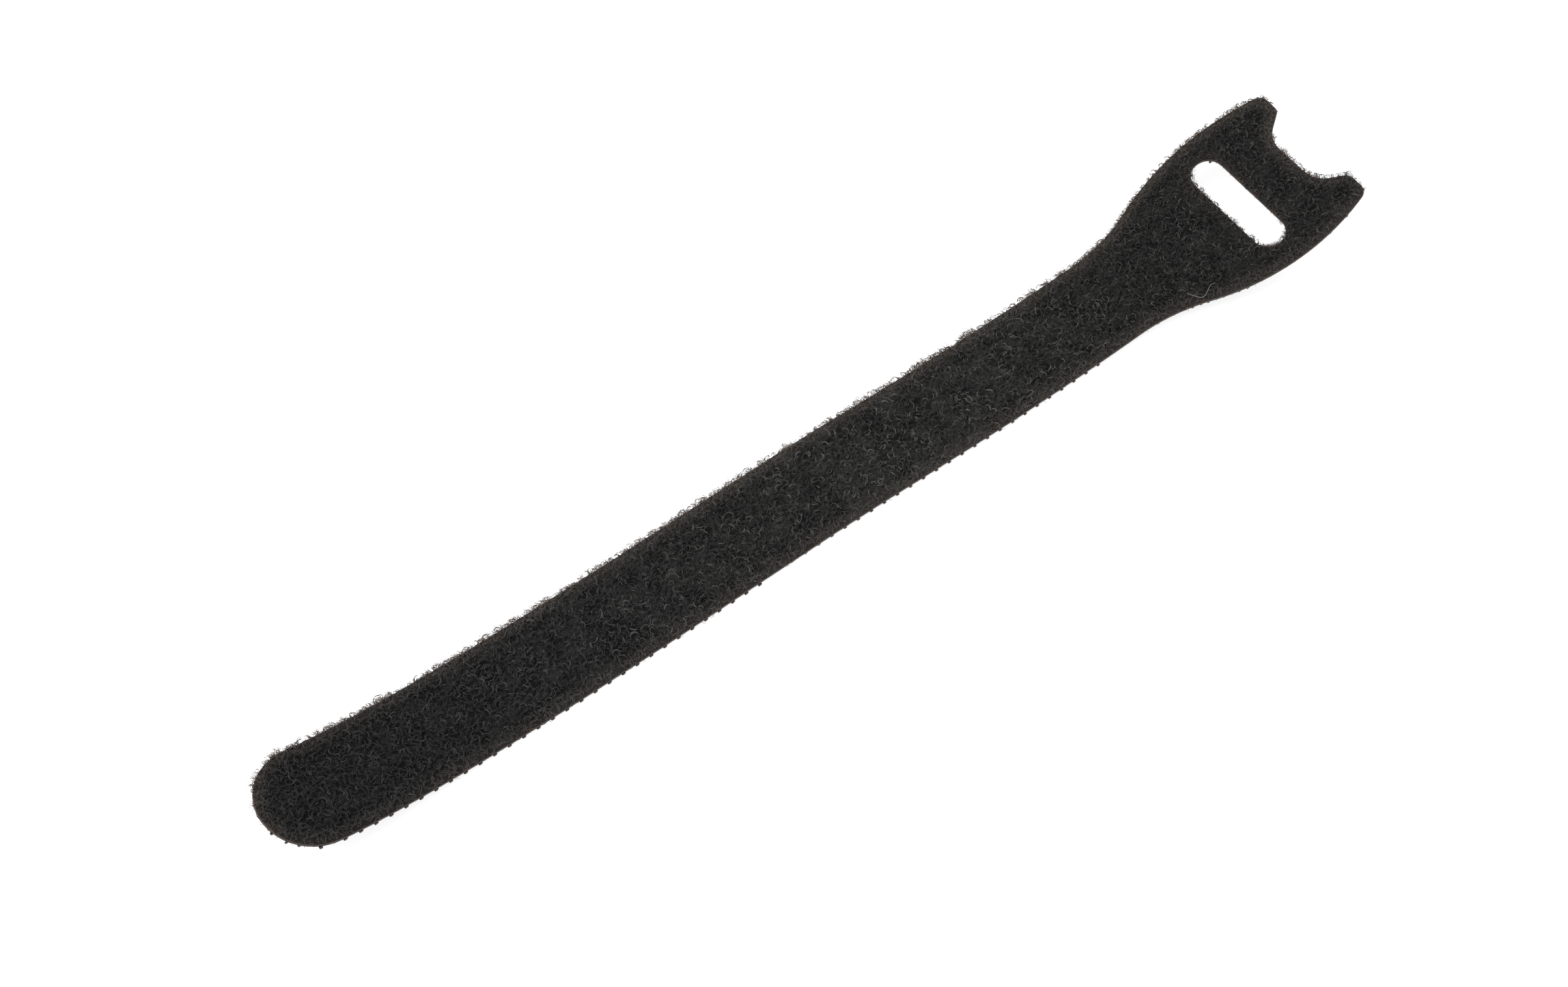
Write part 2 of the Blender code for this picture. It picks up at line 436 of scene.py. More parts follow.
sheet = flat_sheet(RIM_RINGS, FELT_CELL)
extruded = bmesh.ops.extrude_face_region(sheet, geom=sheet.faces[:])["geom"]
upper = {item for item in extruded if isinstance(item, bmesh.types.BMVert)}
sheet.verts.index_update()
from_rim = rim_distance(np.array([vert.co[:] for vert in sheet.verts])) / MM
for vert, distance in zip(sheet.verts, from_rim):
    if vert in upper:
        place = vert.co / MM
        swell = sum(share * noise.noise(place * waves) for waves, share in FELT_WAVES)
        away = min(1.0, distance / FELT_FADE)
        vert.co.z = np.interp(distance, *TOP_PROFILE) * MM + away * FELT_UNEVENNESS * swell
    else:
        vert.co.z = np.interp(distance, *UNDER_PROFILE) * MM
bmesh.ops.recalc_face_normals(sheet, faces=sheet.faces[:])
for face in sheet.faces:
    face.smooth = True
    nearest = min(from_rim[vert.index] for vert in face.verts)
    if face.normal.z < FACING_DOWN:
        face.material_index = FILM
    elif nearest < FUSED_WIDTH and face.calc_center_median().z < FUSED_TOP:
        face.material_index = FUSED
tape_mesh = bpy.data.meshes.new("tape")
sheet.to_mesh(tape_mesh)
sheet.free()
tape_mesh.attributes.new("from_rim", "FLOAT", "POINT").data.foreach_set("value", from_rim * MM)
curl_mesh(tape_mesh)
tape = add_object("tape", tape_mesh)
print_triangles("tape", tape_mesh)

# %% [markdown]
# ## Black nylon, by place
# The pile is black nylon yarn, brushed so that its fine filaments stand up as
# loops. It takes in nearly all light, and only single filaments that lie the
# right way show a grey glint. Nylon's index of refraction is 1.53.
#
# The pile isn't the same black all over. Toward both ends it is painted darker,
# a painted shade where the curled ends turn from the light. Within two millimetres
# of the cut it is painted lighter and brown, a painted backlight and sheen of the
# filaments there, most of all on the far side, where the brushed pile leans out
# over the edge, less at the tip, and hardly at all around the slot. That could be
# painted by hand, but a measured distance gives an even band. So each piece of the
# pile stores its distance from the cut as an attribute called `from_rim`, and one
# function works both effects into a material's colour.

# %% Nylon, and its colour by place
NYLON_IOR = 1.53
# Painted shade of the curled ends, as (mm from the tip, share of red, green and blue).
END_SHADE = (
    (0, (0.36, 0.37, 0.40)), (16, (0.34, 0.36, 0.39)), (84, (1.0, 1.0, 1.0)),
    (100, (1.0, 1.0, 1.0)), (120, (0.62, 0.63, 0.63)), (150, (0.58, 0.58, 0.59)))
# Painted backlight and sheen along the cut: its colour, and where it is full and where it ends.
RIM_LIGHT_COLOUR = "#5a544d"
RIM_LIGHT_BAND = (0.1 * MM, 2.0 * MM)
# Less of the painted rim light on the near side, around the slot and at the tip: where it
# starts, where it is in full, and the share at the start. The tip's band is a share of the whole
# length.
FROM_NEAR_SIDE = (-4.0 * MM, 4.0 * MM, 0.6)
FROM_SLOT = (0.9 * MM, 1.7 * MM, 0.25)
FROM_TIP = (0.08, 0.4, 0.65)
curled_slot_x = float(curled(np.array([[slot_x, 0.0, 0.0]]))[0, 0] - middle_x)


def nylon(name, roughness):
    """A nylon material; returns it with its tree and its shader."""
    material = bpy.data.materials.new(name)
    material.use_nodes = True
    shader = material.node_tree.nodes["Principled BSDF"]
    fill(shader, {"Roughness": roughness, "IOR": NYLON_IOR})
    return material, material.node_tree, shader


def paint_light_by_place(tree, colour, rim_light_share):
    """The colour with painted shade toward the ends and, by a share, painted brown rim light along
    the cut.
    """
    place = add_node(tree, "ShaderNodeTexCoord").outputs["Object"]
    parts = add_node(tree, "ShaderNodeSeparateXYZ", {0: place}).outputs
    along = add_node(tree, "ShaderNodeMapRange", {
        "Value": parts["X"], "From Min": -middle_x, "From Max": TIE_LENGTH - middle_x})
    # Painted shade: darker toward both curled ends.
    end_shade = add_node(tree, "ShaderNodeValToRGB", {"Fac": along}, stops=[
        (from_tip * MM / TIE_LENGTH, (*tint, 1.0)) for from_tip, tint in END_SHADE])
    end_shaded = add_node(tree, "ShaderNodeVectorMath", {0: colour, 1: end_shade}, operation="MULTIPLY")
    from_rim = add_node(tree, "ShaderNodeAttribute", attribute_name="from_rim").outputs["Fac"]
    weight = add_node(tree, "ShaderNodeMapRange", {
        "Value": from_rim, "From Min": RIM_LIGHT_BAND[0], "From Max": RIM_LIGHT_BAND[1],
        "To Min": rim_light_share, "To Max": 0.0}, interpolation_type="SMOOTHSTEP")
    from_slot = add_node(tree, "ShaderNodeMath", {
        0: parts["X"], 1: curled_slot_x}, operation="SUBTRACT")
    off_centre = add_node(tree, "ShaderNodeMath", {0: parts["Y"]}, operation="ABSOLUTE")
    past_slot = add_node(tree, "ShaderNodeMath", {
        0: off_centre, 1: slot_reach}, operation="SUBTRACT")
    beyond = add_node(tree, "ShaderNodeMath", {0: past_slot, 1: 0.0}, operation="MAXIMUM")
    to_slot = add_node(tree, "ShaderNodeCombineXYZ", {0: from_slot, 1: beyond})
    from_axis = add_node(tree, "ShaderNodeVectorMath", {0: to_slot}, operation="LENGTH")
    from_edge = add_node(tree, "ShaderNodeMath", {
        0: from_axis.outputs["Value"], 1: SLOT_WIDTH / 2}, operation="SUBTRACT")
    for value, (start, full, share) in (
            (parts["Y"], FROM_NEAR_SIDE), (from_edge, FROM_SLOT), (along, FROM_TIP)):
        kept = add_node(tree, "ShaderNodeMapRange", {
            "Value": value, "From Min": start, "From Max": full, "To Min": share, "To Max": 1.0})
        weight = add_node(tree, "ShaderNodeMath", {0: weight, 1: kept}, operation="MULTIPLY")
    # Painted rim light: the lighter brown mixed in along the cut.
    rim_lit = add_node(tree, "ShaderNodeMix", {
        0: weight, 6: end_shaded, 7: linear(RIM_LIGHT_COLOUR)}, data_type="RGBA")
    return rim_lit.outputs[2]


# %% [markdown]
# ## The foot of the pile
# Deep in the pile single filaments still show as thin bent lines. Real ones there
# would be far too many to model, so they are drawn: the borders of warped cells
# about 0.35 mm and 0.6 mm wide, coarser than yarn, to show. They are drawn lighter
# than the ground, a painted glint of the lit filaments over shaded gaps. Tufts of
# the ground, 1.5 to 2 mm apart, take the lines down in between, and there the colour
# is painted darker, a painted shade in the hollows.

# %% Felt finish
STRANDS_PER_MM = (2.9, 1.7)
STRAND_EDGE = 0.16
STRAND_BEND = 0.8 * MM
NOISE_MEAN = (0.5, 0.5, 0.5)
# Where a tuft begins and ends in the noise, and how light it is without a strand.
TUFT_NOISE = (0.36, 0.64)
TUFT_SHARE = 0.45
# Share of the painted rim light on the foot of the pile.
FELT_RIM_LIGHT = 0.45

felt, tree, shader = nylon("brushed nylon loop pile, foot", 0.95)
place = add_node(tree, "ShaderNodeTexCoord").outputs["Object"]
bend = add_node(tree, "ShaderNodeTexNoise", {"Vector": place, "Scale": 1.6 / MM, "Detail": 1.0})
centred = add_node(tree, "ShaderNodeVectorMath", {
    0: bend.outputs["Color"], 1: NOISE_MEAN}, operation="SUBTRACT")
warped = add_node(tree, "ShaderNodeVectorMath", {
    0: centred, 1: (STRAND_BEND,) * 3, 2: place}, operation="MULTIPLY_ADD")
strands = []
for per_mm in STRANDS_PER_MM:
    cells = add_node(tree, "ShaderNodeTexVoronoi", {
        "Vector": warped, "Scale": per_mm / MM}, feature="DISTANCE_TO_EDGE")
    strands.append(add_node(tree, "ShaderNodeMapRange", {
        "Value": cells, "From Min": 0.0, "From Max": STRAND_EDGE, "To Min": 1.0, "To Max": 0.0}))
either = add_node(tree, "ShaderNodeMath", {0: strands[0], 1: strands[1]}, operation="MAXIMUM")
tufts = add_node(tree, "ShaderNodeTexNoise", {
    "Vector": place, "Scale": 0.52 / MM, "Detail": 3.0, "Roughness": 0.6})
tuft_depth = add_node(tree, "ShaderNodeMapRange", {
    "Value": tufts, "From Min": TUFT_NOISE[0], "From Max": TUFT_NOISE[1]})
both = add_node(tree, "ShaderNodeMath", {0: either, 1: tuft_depth}, operation="MULTIPLY")
total = add_node(tree, "ShaderNodeMath", {
    0: tuft_depth, 1: TUFT_SHARE, 2: both}, operation="MULTIPLY_ADD")
# Painted light: lighter along the drawn strands, as lit filaments, and darker between the tufts,
# as painted shade in the hollows.
shades = add_node(tree, "ShaderNodeValToRGB", {"Fac": total}, stops=[
    (0.0, linear("#131312")), (0.45, linear("#242423")), (1.0, linear("#464543"))])
relief = add_node(tree, "ShaderNodeBump", {
    "Height": total, "Distance": 0.10 * MM, "Strength": 0.8})
fill(shader, {
    "Base Color": paint_light_by_place(tree, shades, FELT_RIM_LIGHT), "Normal": relief,
    "Specular IOR Level": 0.2})

# %% [markdown]
# ## Fused rim, film and hooks
# The fused rim is the same nylon melted smooth, and its black has a painted brown
# cast, a painted backlight of the bright background through the thin edge.
# The film that carries the hooks is moulded and has a soft gloss. The hooks are the
# film's nylon, a little more glossy, with the brown cast that thin black nylon has
# where light comes through it. All three vary in soft patches, so one function
# makes them, from a number of patches per millimetre and two shades.

# %% Fused rim, film and hook finish
def mottled_nylon(name, roughness, per_mm, detail, stops, depth=0.0, strength=0.0):
    """Nylon whose shade, and height where a depth is given, varies in soft patches."""
    material, tree, shader = nylon(name, roughness)
    place = add_node(tree, "ShaderNodeTexCoord").outputs["Object"]
    patches = add_node(tree, "ShaderNodeTexNoise", {
        "Vector": place, "Scale": per_mm / MM, "Detail": detail})
    fill(shader, {"Base Color": add_node(tree, "ShaderNodeValToRGB", {"Fac": patches}, stops=[
        (position, linear(shade)) for position, shade in stops])})
    if depth:
        fill(shader, {"Normal": add_node(tree, "ShaderNodeBump", {
            "Height": patches, "Distance": depth, "Strength": strength})})
    return material


# Painted backlight: the brown cast of the fused edge.
fused = mottled_nylon(
    "black nylon, edge fused by the die", 0.5, 1.4, 3.0,
    ((0.35, "#2e2521"), (0.7, "#50433b")), depth=0.05 * MM, strength=0.6)
film = mottled_nylon(
    "black nylon film, moulded", 0.42, 0.5, 4.0,
    ((0.0, "#191716"), (1.0, "#2b2725")), depth=0.04 * MM, strength=0.5)
hook_nylon = mottled_nylon(
    "black nylon, moulded hooks", 0.36, 0.9, 2.0, ((0.35, "#2c2624"), (0.7, "#4a3f3a")))
for material in (felt, fused, film):
    tape_mesh.materials.append(material)

# %% [markdown]
# ## One moulded hook
# The hooks are moulded in a wheel with slots, so each one is a flat profile with
# two parallel sides: a broad foot, a neck, and a crook that bends over. We draw
# the profile as a short list of points and extrude it. It is repeated thousands
# of times, so it has only eight sides, fewer than a real one shows.

# %% Hook profile, as (along the strap, down from the film) in shares of its height
HOOK_PROFILE = [
    (0.75, -0.10), (0.54, 0.60), (0.24, 1.00), (-0.50, 0.96), (-0.86, 0.48),
    (-0.52, 0.60), (-0.24, 0.50), (-0.60, -0.10)]
HOOK_THICKNESS = 0.26 * MM
HOOK_CROWN_TAPER = 0.75

hook_bm = bmesh.new()
sides = []
for side in (-1, 1):
    ring = []
    for along, down in HOOK_PROFILE:
        width = HOOK_THICKNESS * (1 - (1 - HOOK_CROWN_TAPER) * max(0, down))
        ring.append(hook_bm.verts.new(
            (along * HOOK_HEIGHT * MM, side * width / 2, -down * HOOK_HEIGHT * MM)))
    sides.append(ring)
    hook_bm.faces.new(ring)
for i in range(len(HOOK_PROFILE)):
    hook_bm.faces.new((sides[0][i - 1], sides[0][i], sides[1][i], sides[1][i - 1]))
bmesh.ops.recalc_face_normals(hook_bm, faces=hook_bm.faces[:])
hook_mesh = bpy.data.meshes.new("hook")
hook_bm.to_mesh(hook_mesh)
hook_bm.free()
hook = add_object("hook", hook_mesh)
print_triangles("hook", hook_mesh)

# %% [markdown]
# ## The field of hooks
# The hooks stand in rows along the strap, 1.87 mm apart in a row, and each row is
# shifted by half of that against the next and faces the other way, so the tie
# grips in both directions. That is a grid of points with every other row moved,
# which Geometry Nodes make well. The rows aren't quite in line with the cut:
# about halfway along they drift sideways by one row, so the near edge shows the
# crowns of one row first and of the next after that. Points outside the cut are
# deleted by their distance from the flat sheet.

# %% Helpers for geometry trees
def new_tree(name, sockets):
    """A geometry tree with named inputs; returns it, its inputs and their identifiers."""
    tree = bpy.data.node_groups.new(name, "GeometryNodeTree")
    tree.interface.new_socket("Geometry", in_out="INPUT", socket_type="NodeSocketGeometry")
    ids = {}
    for label, kind in sockets.items():
        item = tree.interface.new_socket(
            label, in_out="INPUT", socket_type="NodeSocket" + kind)
        ids[label] = item.identifier
    tree.interface.new_socket("Geometry", in_out="OUTPUT", socket_type="NodeSocketGeometry")
    return tree, add_node(tree, "NodeGroupInput").outputs, ids


def end_tree(tree, given, instances):
    """Ends a tree in a real mesh with its finish, because the export drops instances."""
    real = add_node(tree, "GeometryNodeRealizeInstances", {0: instances})
    finished = add_node(tree, "GeometryNodeSetMaterial", {
        "Geometry": real, "Material": given["Finish"]})
    add_node(tree, "NodeGroupOutput", {"Geometry": finished})


def grow(tree, ids, carrier, values, name):
    """Runs a tree on a carrier mesh and returns the result as a new, plain object."""
    modifier = carrier.modifiers.new("grow", "NODES")
    modifier.node_group = tree
    for label, value in values.items():
        modifier[ids[label]] = value
    depsgraph = bpy.context.evaluated_depsgraph_get()
    mesh = bpy.data.meshes.new_from_object(carrier.evaluated_get(depsgraph))
    mesh.name = name
    carrier.modifiers.remove(modifier)
    curl_mesh(mesh)
    print_triangles(name, mesh)
    return add_object(name, mesh)


# %% Node tree: hook field
HOOK_PITCH = 1.871 * MM
ROW_SPACING = 0.325 * MM
ROW_DRIFT = (54.0 * MM, 78.0 * MM)
FIRST_HOOK = 8.668 * MM
EDGE_ROW = 0.11 * MM
EDGE_OVERHANG = 0.20 * MM
HALF_COLUMNS, HALF_ROWS = 84, 36
# Where the cut bends away from the rows, at the neck, the die shears the crowns off.
NECK_START = 105.0 * MM
SHEARED_FROM = 113.0 * MM
SHEARED_OVERHANG = 0.4

hook_tree, given, hook_ids = new_tree("hook field", {
    "Hook": "Object", "Pitch": "Float", "Row Spacing": "Float", "Drift From": "Float",
    "Drift To": "Float", "First Hook": "Float", "First Row": "Float", "Overhang": "Float",
    "Height": "Float", "Finish": "Material"})
tree = hook_tree
grid = add_node(tree, "GeometryNodeMeshGrid", {
    "Size X": 2.0 * HALF_COLUMNS, "Size Y": 2.0 * HALF_ROWS,
    "Vertices X": 2 * HALF_COLUMNS + 1, "Vertices Y": 2 * HALF_ROWS + 1})
points = add_node(tree, "GeometryNodeMeshToPoints", {"Mesh": grid})
number = add_node(tree, "GeometryNodeInputPosition")
parts = add_node(tree, "ShaderNodeSeparateXYZ", {0: number}).outputs
even = add_node(tree, "ShaderNodeMath", {0: parts["Y"], 1: 2.0}, operation="FLOORED_MODULO")
odd_row = add_node(tree, "ShaderNodeMath", {0: even, 1: 0.5}, operation="GREATER_THAN")
marked = add_node(tree, "GeometryNodeStoreNamedAttribute", {
    "Geometry": points, "Name": "odd_row", "Value": odd_row}, data_type="FLOAT", domain="POINT")
odd = add_node(tree, "GeometryNodeInputNamedAttribute", {"Name": "odd_row"}, data_type="FLOAT")
half_step = add_node(tree, "ShaderNodeMath", {0: odd, 1: 0.5}, operation="MULTIPLY")
column = add_node(tree, "ShaderNodeMath", {0: parts["X"], 1: half_step}, operation="ADD")
along = add_node(tree, "ShaderNodeMath", {
    0: column, 1: given["Pitch"], 2: given["First Hook"]}, operation="MULTIPLY_ADD")
drift = add_node(tree, "ShaderNodeMapRange", {
    "Value": along, "From Min": given["Drift From"], "From Max": given["Drift To"],
    "To Min": 0.0, "To Max": -1.0}, interpolation_type="SMOOTHSTEP")
row = add_node(tree, "ShaderNodeMath", {0: parts["Y"], 1: drift}, operation="ADD")
side = add_node(tree, "ShaderNodeMath", {
    0: row, 1: given["Row Spacing"], 2: given["First Row"]}, operation="MULTIPLY_ADD")
spread = add_node(tree, "ShaderNodeCombineXYZ", {0: along, 1: side})
moved = add_node(tree, "GeometryNodeSetPosition", {"Geometry": marked, "Position": spread})
nearby = add_node(tree, "GeometryNodeProximity", {0: given["Geometry"]}, target_element="FACES")
at_place = add_node(tree, "GeometryNodeInputPosition")
at_parts = add_node(tree, "ShaderNodeSeparateXYZ", {0: at_place}).outputs
sheared = add_node(tree, "ShaderNodeMapRange", {
    "Value": at_parts["X"], "From Min": NECK_START, "From Max": SHEARED_FROM,
    "To Min": 1.0, "To Max": SHEARED_OVERHANG})
allowed = add_node(tree, "ShaderNodeMath", {
    0: given["Overhang"], 1: sheared}, operation="MULTIPLY")
outside = add_node(tree, "ShaderNodeMath", {
    0: nearby.outputs["Distance"], 1: allowed}, operation="GREATER_THAN")
kept = add_node(tree, "GeometryNodeDeleteGeometry", {
    "Geometry": moved, "Selection": outside}, domain="POINT")
lift = add_node(tree, "ShaderNodeCombineXYZ", {2: given["Height"]})
raised = add_node(tree, "GeometryNodeSetPosition", {"Geometry": kept, "Offset": lift})
half_turn = add_node(tree, "ShaderNodeMath", {0: odd, 1: math.pi}, operation="MULTIPLY")
facing = add_node(tree, "ShaderNodeCombineXYZ", {2: half_turn})
turn = add_node(tree, "FunctionNodeEulerToRotation", {0: facing})
hook_info = add_node(tree, "GeometryNodeObjectInfo", {"Object": given["Hook"]})
planted = add_node(tree, "GeometryNodeInstanceOnPoints", {
    "Points": raised, "Instance": hook_info.outputs["Geometry"], "Rotation": turn})
end_tree(tree, given, planted)

# %% Plant the hooks on a flat copy of the cut
COARSE_CELL = 4.0 * MM


def carrier_object(name, margins, height):
    """A flat sheet to grow things on, at one height."""
    bm = flat_sheet(margins, COARSE_CELL)
    mesh = bpy.data.meshes.new(name)
    bm.to_mesh(mesh)
    bm.free()
    mesh.transform(Matrix.Translation((0, 0, height)))
    return add_object(name, mesh)


cut_sheet = carrier_object("cut_sheet", [0.0], 0.0)
# Row number ROWS_TO_EDGE lies just outside the near edge, before the drift.
ROWS_TO_EDGE = 20
first_row = ROWS_TO_EDGE * ROW_SPACING - half_strap - EDGE_ROW
hook_field = grow(hook_tree, hook_ids, cut_sheet, {
    "Hook": hook, "Pitch": HOOK_PITCH, "Row Spacing": ROW_SPACING,
    "Drift From": ROW_DRIFT[0], "Drift To": ROW_DRIFT[1], "First Hook": FIRST_HOOK,
    "First Row": first_row, "Overhang": EDGE_OVERHANG, "Height": HOOK_HEIGHT * MM,
    "Finish": hook_nylon}, "hook_field")

# %% The line of the cut, for what depends on the rim
RIM_LINE_OUTSET = 0.03 * MM
RIM_LINE_HEIGHT = 0.74 * MM

rim_points, rim_edges = [], []
for loop in (tie_outline, slot_outline):
    first = len(rim_points)
    rim_points += [(x, y, RIM_LINE_HEIGHT) for x, y in offset(loop, -RIM_LINE_OUTSET)]
    rim_edges += [(first + i, first + (i + 1) % len(loop)) for i in range(len(loop))]
rim_mesh = bpy.data.meshes.new("rim_line")
rim_mesh.from_pydata(rim_points, rim_edges, [])
rim_line = add_object("rim_line", rim_mesh)

# %% [markdown]
# ## The loops of the pile
# Close up, the pile is a mat of fine curly filaments. Each yarn is a bundle, so
# its loop is a sheaf of arches side by side, about a millimetre across. Hair
# would render well but is lost on export, and a texture alone stays flat at the
# rim, so the filaments are real geometry.
#
# Loops and the fuzz of the rim end the same way: a random number called `shade`
# is stored on each filament, a noise field pushes neighbours the same way as in
# real felt, heights are pressed to the pile's, the distance from the cut is stored,
# the ends thin out, and a three-sided tube gives them thickness. So that half of
# the tree is a function.
# Filaments are drawn 0.04 to 0.06 mm thick, coarser than brushed yarn, to show.

# %% Node tree, second half: from curves to filaments
FILAMENT_SOCKETS = {
    "Filament Radius": "Float", "Ruffle": "Vector", "Ruffle Scale": "Float", "Rim": "Object",
    "Top": "Float", "Bottom": "Float", "Seed": "Int", "Finish": "Material"}
OWN_SHADE = 0.3
THINNEST_END = 0.2


def thicken_filaments(tree, given, curls):
    """Turns instanced curves into thin, uneven, tapering tubes and ends the tree."""
    own_shade = add_node(tree, "FunctionNodeRandomValue", {
        2: -OWN_SHADE, 3: OWN_SHADE, "Seed": given["Seed"]}, data_type="FLOAT")
    tone = add_node(tree, "GeometryNodeInputNamedAttribute", {"Name": "tone"}, data_type="FLOAT")
    shade = add_node(tree, "ShaderNodeMath", {0: tone, 1: own_shade.outputs[1]}, operation="ADD")
    shaded = add_node(tree, "GeometryNodeStoreNamedAttribute", {
        "Geometry": curls, "Name": "shade", "Value": shade}, data_type="FLOAT", domain="INSTANCE")
    loose = add_node(tree, "GeometryNodeRealizeInstances", {0: shaded})
    here = add_node(tree, "GeometryNodeInputPosition")
    ruffle = add_node(tree, "ShaderNodeTexNoise", {
        "Vector": here, "Scale": given["Ruffle Scale"], "Detail": 0.0})
    centred = add_node(tree, "ShaderNodeVectorMath", {
        0: ruffle.outputs["Color"], 1: NOISE_MEAN}, operation="SUBTRACT")
    push = add_node(tree, "ShaderNodeVectorMath", {
        0: centred, 1: given["Ruffle"]}, operation="MULTIPLY")
    ruffled = add_node(tree, "GeometryNodeSetPosition", {"Geometry": loose, "Offset": push})
    now = add_node(tree, "GeometryNodeInputPosition")
    parts = add_node(tree, "ShaderNodeSeparateXYZ", {0: now}).outputs
    pressed = add_node(tree, "ShaderNodeClamp", {
        "Value": parts["Z"], "Min": given["Bottom"], "Max": given["Top"]})
    pressed_place = add_node(tree, "ShaderNodeCombineXYZ", {
        0: parts["X"], 1: parts["Y"], 2: pressed})
    flattened = add_node(tree, "GeometryNodeSetPosition", {
        "Geometry": ruffled, "Position": pressed_place})
    rim = add_node(tree, "GeometryNodeObjectInfo", {"Object": given["Rim"]})
    to_rim = add_node(tree, "GeometryNodeProximity", {
        0: rim.outputs["Geometry"]}, target_element="EDGES")
    measured = add_node(tree, "GeometryNodeStoreNamedAttribute", {
        "Geometry": flattened, "Name": "from_rim", "Value": to_rim.outputs["Distance"]},
        data_type="FLOAT", domain="POINT")
    along_it = add_node(tree, "GeometryNodeSplineParameter")
    sweep = add_node(tree, "ShaderNodeMath", {0: along_it, 1: math.pi}, operation="MULTIPLY")
    swelling = add_node(tree, "ShaderNodeMath", {0: sweep}, operation="SINE")
    fuller = add_node(tree, "ShaderNodeMath", {0: swelling, 1: 0.5}, operation="POWER")
    thinned = add_node(tree, "ShaderNodeMath", {0: fuller, 1: THINNEST_END}, operation="MAXIMUM")
    tapered = add_node(tree, "GeometryNodeSetCurveRadius", {"Curve": measured, "Radius": thinned})
    ring = add_node(tree, "GeometryNodeCurvePrimitiveCircle", {
        "Resolution": 3, "Radius": given["Filament Radius"]}, mode="RADIUS")
    end_tree(tree, given, add_node(tree, "GeometryNodeCurveToMesh", {
        "Curve": tapered, "Profile Curve": ring, "Fill Caps": True}))


# %% [markdown]
# The first half of the pile's tree scatters points evenly, gives each point a
# size and a turn, and copies it once for each filament of the sheaf. The copies
# differ a little in turn and size. Brushing has laid the loops over towards the
# head and the far side, so the turn about Z spreads around that direction
# instead of going all the way round, and the crowns lean up.

# %% Node tree: pile loops
# Turns about X and Y and sizes of a sheaf, then what each filament in it adds.
LEAST_TILT, MOST_TILT = (-0.5, -1.0), (0.5, 0.0)
SHEAF_SIZES = (0.75, 1.45)
FILAMENT_TURN = 0.2
FILAMENT_SIZES = (0.7, 1.2)
FILAMENT_STRAY = (0.09 * MM, 0.09 * MM, 0.06 * MM)
TONES = (0.1, 0.9)

loop_tree, given, loop_ids = new_tree("pile loops", {
    "From": "Float", "To": "Float", "Gap": "Float", "Loop Radius": "Float",
    "Lean": "Float", "Lean Spread": "Float", "Filaments": "Int", "Points": "Int", "Sweep": "Float",
    "Head Start": "Float", "Head Size": "Float", **FILAMENT_SOCKETS})
tree = loop_tree
density = add_node(tree, "ShaderNodeMath", {0: given["Gap"], 1: -2.0}, operation="POWER")
plenty = add_node(tree, "ShaderNodeMath", {0: density, 1: 4.0}, operation="MULTIPLY")
scattered = add_node(tree, "GeometryNodeDistributePointsOnFaces", {
    "Mesh": given["Geometry"], "Distance Min": given["Gap"], "Density Max": plenty,
    "Seed": given["Seed"]}, distribute_method="POISSON")
spot = add_node(tree, "GeometryNodeInputPosition")
spot_parts = add_node(tree, "ShaderNodeSeparateXYZ", {0: spot}).outputs
before = add_node(tree, "ShaderNodeMath", {
    0: spot_parts["X"], 1: given["From"]}, operation="LESS_THAN")
beyond = add_node(tree, "ShaderNodeMath", {
    0: spot_parts["X"], 1: given["To"]}, operation="GREATER_THAN")
elsewhere = add_node(tree, "ShaderNodeMath", {0: before, 1: beyond}, operation="MAXIMUM")
section = add_node(tree, "GeometryNodeDeleteGeometry", {
    "Geometry": scattered, "Selection": elsewhere}, domain="POINT")
least_spin = add_node(tree, "ShaderNodeMath", {
    0: given["Lean"], 1: given["Lean Spread"]}, operation="SUBTRACT")
most_spin = add_node(tree, "ShaderNodeMath", {
    0: given["Lean"], 1: given["Lean Spread"]}, operation="ADD")
least_turn = add_node(tree, "ShaderNodeCombineXYZ", {
    0: LEAST_TILT[0], 1: LEAST_TILT[1], 2: least_spin})
most_turn = add_node(tree, "ShaderNodeCombineXYZ", {
    0: MOST_TILT[0], 1: MOST_TILT[1], 2: most_spin})
sheaf_turn = add_node(tree, "FunctionNodeRandomValue", {
    0: least_turn, 1: most_turn, "Seed": 3}, data_type="FLOAT_VECTOR")
sheaf_size = add_node(tree, "FunctionNodeRandomValue", {
    2: SHEAF_SIZES[0], 3: SHEAF_SIZES[1], "Seed": 4}, data_type="FLOAT")
any_tone = add_node(tree, "FunctionNodeRandomValue", {
    2: TONES[0], 3: TONES[1], "Seed": 5}, data_type="FLOAT")
stored = section
for label, value, kind in (
        ("turn", sheaf_turn, "FLOAT_VECTOR"), ("size", sheaf_size.outputs[1], "FLOAT"),
        ("tone", any_tone.outputs[1], "FLOAT")):
    stored = add_node(tree, "GeometryNodeStoreNamedAttribute", {
        "Geometry": stored, "Name": label, "Value": value}, data_type=kind, domain="POINT")
copies = add_node(tree, "GeometryNodeDuplicateElements", {
    "Geometry": stored, "Amount": given["Filaments"]}, domain="POINT")
strayed = add_node(tree, "FunctionNodeRandomValue", {
    0: tuple(-reach for reach in FILAMENT_STRAY), 1: FILAMENT_STRAY, "Seed": 7},
    data_type="FLOAT_VECTOR")
apart = add_node(tree, "GeometryNodeSetPosition", {"Geometry": copies, "Offset": strayed})
stored_turn = add_node(tree, "GeometryNodeInputNamedAttribute", {
    "Name": "turn"}, data_type="FLOAT_VECTOR")
stored_size = add_node(tree, "GeometryNodeInputNamedAttribute", {
    "Name": "size"}, data_type="FLOAT")
own_turn = add_node(tree, "FunctionNodeRandomValue", {
    0: (-FILAMENT_TURN,) * 3, 1: (FILAMENT_TURN,) * 3, "Seed": 8}, data_type="FLOAT_VECTOR")
